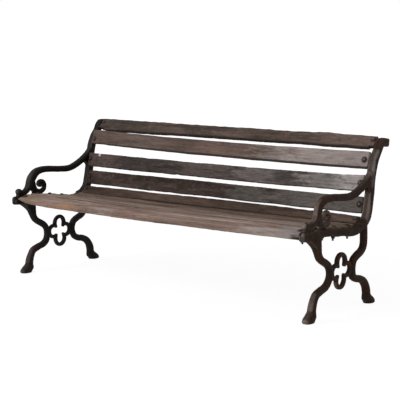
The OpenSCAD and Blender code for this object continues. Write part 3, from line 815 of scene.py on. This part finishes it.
paint(castings[0], iron(
    "iron_right", tone(47, 33, 24), tone(72, 43, 31), tone(122, 108, 101), rust=0.7, dust=0.35, front_light=1.0,
    spots=[(0.36, 0.757, 0.04, 0.06, tone(90, 54, 26), 0.85), (0.31, 0.755, 0.045, 0.035, tone(62, 42, 34), 0.8),
           (-0.25, 0.34, 0.07, 0.06, tone(62, 42, 29), 0.6), (0.0, 0.39, 0.26, 0.04, tone(42, 31, 20), 0.8),
           (-0.36, 0.395, 0.016, 0.05, tone(88, 82, 76), 0.5), (0.02, 0.54, 0.14, 0.03, tone(38, 27, 22), 0.55),
           (-0.155, 0.458, 0.045, 0.045, tone(96, 82, 71), 0.55),
           # Painted light: the upright's front and inner faces are drawn lighter where the lamp lights them, and a
           # painted highlight lies on the top of the rail at the front.
           (0.185, 0.46, 0.02, 0.09, tone(128, 114, 107), 0.7),
           (0.255, 0.73, 0.02, 0.05, tone(128, 118, 112), 0.5), (0.222, 0.62, 0.02, 0.07, tone(138, 124, 120), 0.7),
           (-0.245, 0.421, 0.035, 0.011, tone(120, 104, 92), 0.7)]))
paint(castings[1], iron(
    "iron_left", tone(28, 25, 23), tone(50, 38, 34), tone(88, 82, 78), rust=0.35, dust=0.35, front_light=0.6,
    spots=[(-0.25, 0.08, 0.06, 0.09, tone(58, 42, 40), 0.7)]))

pinkish, greyish, silver, tan = tone(138, 100, 86), tone(138, 130, 128), tone(164, 152, 147), tone(110, 94, 76)
looks = [
    wood("timber_back_1", 1.3, tone(48, 38, 33), tone(74, 60, 53), tone(100, 85, 77),
         [whole(-0.68, 0.24, tone(50, 42, 36), 0.8), whole(0.8, 0.34, tone(102, 86, 78), 0.75)],
         speckle=0.4, low_dirt_and_shade=0.7, mottle=0.7),
    wood("timber_back_2", 2.7, tone(74, 60, 54), tone(94, 79, 72), tone(114, 98, 92),
         [(0.0, 0.22, -0.2, 0.8, tone(116, 94, 84), 0.5), whole(0.71, 0.52, tone(149, 137, 134), 0.95),
          whole(-0.8, 0.13, tone(80, 66, 58), 0.6)],
         speckle=0.0, low_dirt_and_shade=0.98, cracks=0.4, mottle=0.4, band_top=0.19),
    wood("timber_back_3", 4.1, tone(40, 34, 32), tone(64, 56, 53), tone(92, 84, 81),
         [whole(-0.8, 0.2, tone(78, 62, 57), 0.7), whole(-0.5, 0.2, tone(50, 43, 40), 0.8),
          whole(-0.05, 0.24, tone(88, 77, 73), 0.65), whole(0.28, 0.18, tone(108, 99, 98), 0.8),
          whole(0.82, 0.36, tone(146, 139, 137), 0.9), (0.42, 0.06, 0.1, 0.9, tone(66, 61, 60), 0.9),
          (0.66, 0.07, 0.0, 1.4, tone(106, 101, 98), 0.6), whole(0.83, 0.1, tone(166, 157, 155), 0.75),
          (-0.803, 0.008, 0.85, 0.3, tone(200, 194, 188), 1.0)],
         speckle=0.8, low_dirt_and_shade=0.55, mottle=0.7),
    wood("timber_back_4", 5.9, tone(40, 31, 26), tone(60, 48, 43), tone(84, 70, 65),
         [(0.22, 0.16, 0.0, 1.6, tone(88, 86, 81), 0.7), whole(0.7, 0.42, tone(108, 102, 98), 0.8)],
         speckle=0.6, low_dirt_and_shade=0.6, mottle=0.8),
    wood("timber_seat_1", 7.7, tone(92, 73, 63), tone(128, 108, 98), tone(158, 140, 131),
         [(-0.62, 0.25, -0.9, 0.25, pinkish, 0.35), (-0.1, 0.12, -0.8, 0.3, pinkish, 0.35),
          (-0.54, 0.08, -0.8, 0.5, tone(148, 114, 86), 0.6), (-0.3, 0.1, -0.7, 0.4, silver, 0.5),
          (0.36, 0.2, -0.6, 0.5, tone(120, 98, 88), 0.6), (0.72, 0.18, -0.7, 0.5, silver, 0.7),
          whole(0.84, 0.1, greyish, 0.7), whole(-0.83, 0.07, tan, 0.7), (0.3, 0.35, 0.35, 0.18, silver, 0.6),
          # A painted shadow under the right end of the front board.
          (0.868, 0.042, 0.374, 0.034, tone(18, 15, 14), 0.98, "by height")],
         speckle=0.3, low_dirt_and_shade=0.0, mottle=0.25),
    wood("timber_seat_2", 8.3, tone(90, 71, 61), tone(124, 105, 93), tone(156, 137, 127),
         [whole(0.72, 0.3, tone(138, 120, 111), 0.5), (0.5, 0.35, 0.5, 0.2, silver, 0.7)],
         speckle=0.3, low_dirt_and_shade=0.5, cracks=0.8, mottle=0.3),
    wood("timber_seat_3", 9.9, tone(90, 71, 61), tone(122, 103, 92), tone(156, 137, 127),
         [whole(0.72, 0.3, tone(136, 118, 109), 0.5), whole(-0.5, 0.3, tone(130, 111, 100), 0.4)],
         speckle=0.3, low_dirt_and_shade=0.5, cracks=0.8, mottle=0.3),
    wood("timber_seat_4", 11.1, tone(84, 66, 56), tone(116, 97, 86), tone(150, 132, 121),
         speckle=0.3, low_dirt_and_shade=0.5, cracks=0.9, mottle=0.3),
    wood("timber_seat_5", 12.4, tone(74, 57, 47), tone(104, 86, 76), tone(138, 120, 110),
         # The rear half is darker: dirt, and painted shade where the seat meets the tilted board behind.
         [(0.2, 0.6, 0.7, 0.5, tone(70, 55, 46), 0.7)], speckle=0.25, low_dirt_and_shade=0.5, cracks=0.9, mottle=0.4),
    wood("timber_seat_6", 13.6, tone(50, 38, 31), tone(72, 56, 47), tone(96, 77, 66),
         [whole(-0.25, 0.25, tone(92, 75, 63), 0.6), whole(0.2, 0.25, tone(60, 48, 40), 0.7),
          whole(0.8, 0.14, tone(96, 79, 69), 0.6)],
         speckle=0.2, low_dirt_and_shade=0.6, mottle=0.5),
]
for piece, look in zip(slats, looks):
    paint(piece, look)

steel = rusty_steel("fastener_steel")
# The dome tops are lighter, by wear and a painted highlight, more so on the right.
worn_and_lit_heads = {"right": rusty_steel("bolt_steel_right", tone(112, 98, 92)),
              "left": rusty_steel("bolt_steel_left", tone(58, 48, 44))}
for piece in bolts:
    paint(piece, worn_and_lit_heads[piece.name.split("_")[-1]])
for name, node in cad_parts.items():
    if name.split("_")[1] in ("washers", "nuts"):
        paint(node, steel)


# ------------------------ floor, light and camera

def white_to_camera(tree):
    """1 for rays that the camera sends, straight or by way of gloss or glass, and 0 for light."""
    path = tree.nodes.new("ShaderNodeLightPath")
    seen = reckon(tree, "MAXIMUM", path.outputs["Is Camera Ray"], path.outputs["Is Glossy Ray"])
    return reckon(tree, "MAXIMUM", seen, path.outputs["Is Transmission Ray"])


def make_floor():
    """A wide pale floor. To the camera it is mostly white, wholly so some way off, and near the bench a
    share of its own pale surface keeps the soft shadow."""
    far, pale, shine = 30, 0.80, 1.08
    mesh = bpy.data.meshes.new("floor")
    mesh.from_pydata([(-far, -far, 0), (far, -far, 0), (far, far, 0), (-far, far, 0)], [], [[0, 1, 2, 3]])
    floor = in_scene("floor", mesh)
    mat, tree, shader, coords = shade("pale_floor")
    white = tree.nodes.new("ShaderNodeEmission")
    for socket, value in ((shader.inputs["Base Color"], pale), (shader.inputs["Roughness"], 1.0),
                          (shader.inputs["Specular IOR Level"], 0.0), (white.inputs["Strength"], shine)):
        put(tree, socket, value)
    white.inputs["Color"].default_value = (1, 1, 1, 1)
    away = tree.nodes.new("ShaderNodeVectorMath")
    away.operation = "LENGTH"
    put(tree, away.inputs[0], coords)
    share = ramp(tree, reckon(tree, "DIVIDE", away.outputs["Value"], 6.0), (0.22, 0.85), (0.7, 1.0))
    mix = tree.nodes.new("ShaderNodeMixShader")
    put(tree, mix.inputs[0], reckon(tree, "MULTIPLY", share, white_to_camera(tree)))
    tree.links.new(shader.outputs[0], mix.inputs[1])
    tree.links.new(white.outputs[0], mix.inputs[2])
    output = next(n for n in tree.nodes if n.type == "OUTPUT_MATERIAL")
    tree.links.new(mix.outputs[0], output.inputs[0])
    paint(floor, mat)


def make_light():
    """An even pale sky, with a large soft lamp from the front left and above."""
    world = bpy.data.worlds.new("sky")
    bpy.context.scene.world = world
    world.use_nodes = True
    tree = world.node_tree
    tree.nodes.clear()
    output = tree.nodes.new("ShaderNodeOutputWorld")
    mix = tree.nodes.new("ShaderNodeMixShader")
    tree.links.new(white_to_camera(tree), mix.inputs[0])
    sky_light, white = 0.62, 1.0
    for socket, strength in ((1, sky_light), (2, white)):
        sky = tree.nodes.new("ShaderNodeBackground")
        sky.inputs["Color"].default_value = (1, 1, 1, 1)
        sky.inputs["Strength"].default_value = strength
        tree.links.new(sky.outputs[0], mix.inputs[socket])
    tree.links.new(mix.outputs[0], output.inputs[0])
    lamp = bpy.data.lights.new("soft_lamp", "AREA")
    lamp.shape = "RECTANGLE"
    lamp.size, lamp.size_y = 2.4, 2.0
    lamp.energy = 130
    holder = in_scene("soft_lamp", lamp)
    holder.location = (-2.2, -3.4, 3.0)
    seat = np.array([0.0, 0.0, 0.45])
    way = seat - np.array(holder.location)
    holder.rotation_euler = (math.acos(-way[2] / np.linalg.norm(way)), 0, math.atan2(-way[0], way[1]))


def make_camera():
    """The photo's viewpoint, fitted to the soles, the slat ends and the uprights. The focal length is in
    pixels of a picture 400 wide, and the camera turns to the left and tilts down by the two angles."""
    focal, picture, turned, tilted = 1202.96, 400, 38.3557, 8.126
    camera = bpy.data.cameras.new("camera")
    camera.sensor_width = 36
    camera.lens = focal / picture * camera.sensor_width
    holder = in_scene("camera", camera)
    holder.location = (3.74404, -4.65087, 1.29202)
    holder.rotation_euler = (math.radians(90 - tilted), 0, math.radians(turned))
    bpy.context.scene.camera = holder


make_floor()
make_light()
make_camera()
bpy.context.scene.view_settings.view_transform = "Standard"
